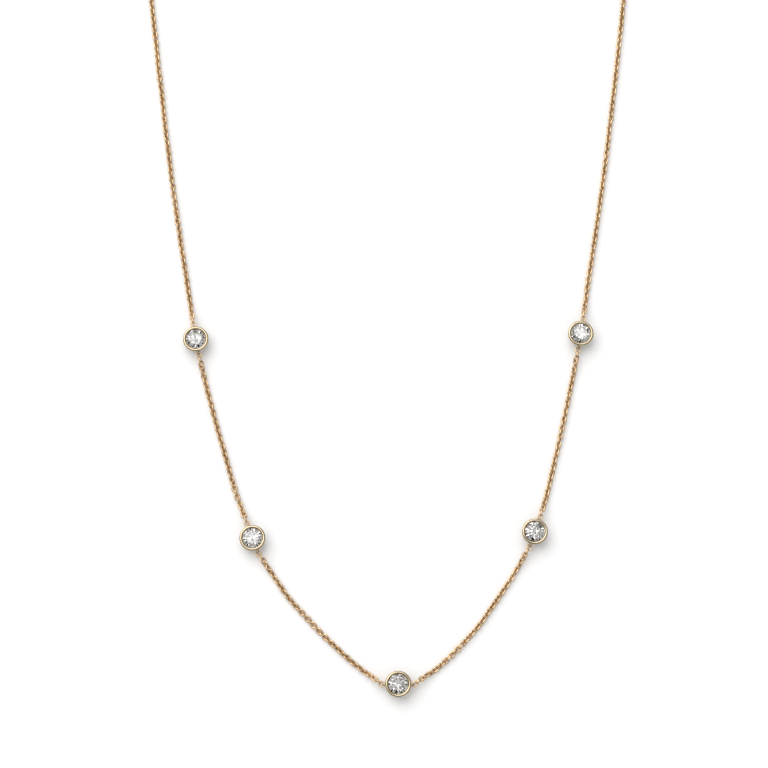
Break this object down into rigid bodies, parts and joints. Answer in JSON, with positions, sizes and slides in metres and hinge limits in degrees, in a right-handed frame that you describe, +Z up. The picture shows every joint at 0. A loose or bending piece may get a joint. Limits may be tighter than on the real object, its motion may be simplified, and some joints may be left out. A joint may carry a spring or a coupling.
{
  "type": "station necklace",
  "caption": "Fine yellow gold cable chain necklace with round clear stones in bezel settings spaced along its front, closed at the back by a spring ring clasp and lying flat as a loop.",
  "frame": {"origin": "middle of the loop's outline, on the surface that it lies on", "axes": "+Z up from the surface, +Y from the middle stone towards the clasp, +X to the wearer's left as seen from above"},
  "size_m": [0.092, 0.1939, 0.0028],
  "materials": {
    "gold_bezel": "polished yellow gold",
    "gold_chain": "polished yellow gold wire, a little warmer",
    "gold_clasp": "polished yellow gold",
    "stone": "clear brilliant cut stone"
  },
  "bodies": {
    "root": {"bezel_1": "gold_bezel", "bezel_2": "gold_bezel", "bezel_3": "gold_bezel", "bezel_4": "gold_bezel", "bezel_5": "gold_bezel", "stone_1": "stone", "stone_2": "stone", "stone_3": "stone", "stone_4": "stone", "stone_5": "stone", "chain_1": "gold_chain", "chain_2": "gold_chain", "chain_3": "gold_chain", "chain_4": "gold_chain", "chain_5": "gold_chain", "chain_6": "gold_chain", "end_link_1": "gold_chain", "end_link_2": "gold_chain", "end_link_3": "gold_chain", "end_link_4": "gold_chain", "end_link_5": "gold_chain", "end_link_6": "gold_chain", "end_link_7": "gold_chain", "end_link_8": "gold_chain", "end_link_9": "gold_chain", "end_link_10": "gold_chain", "end_link_11": "gold_chain", "end_link_12": "gold_chain", "clasp": "gold_clasp", "clasp_ring": "gold_clasp"}
  },
  "joints": []
}
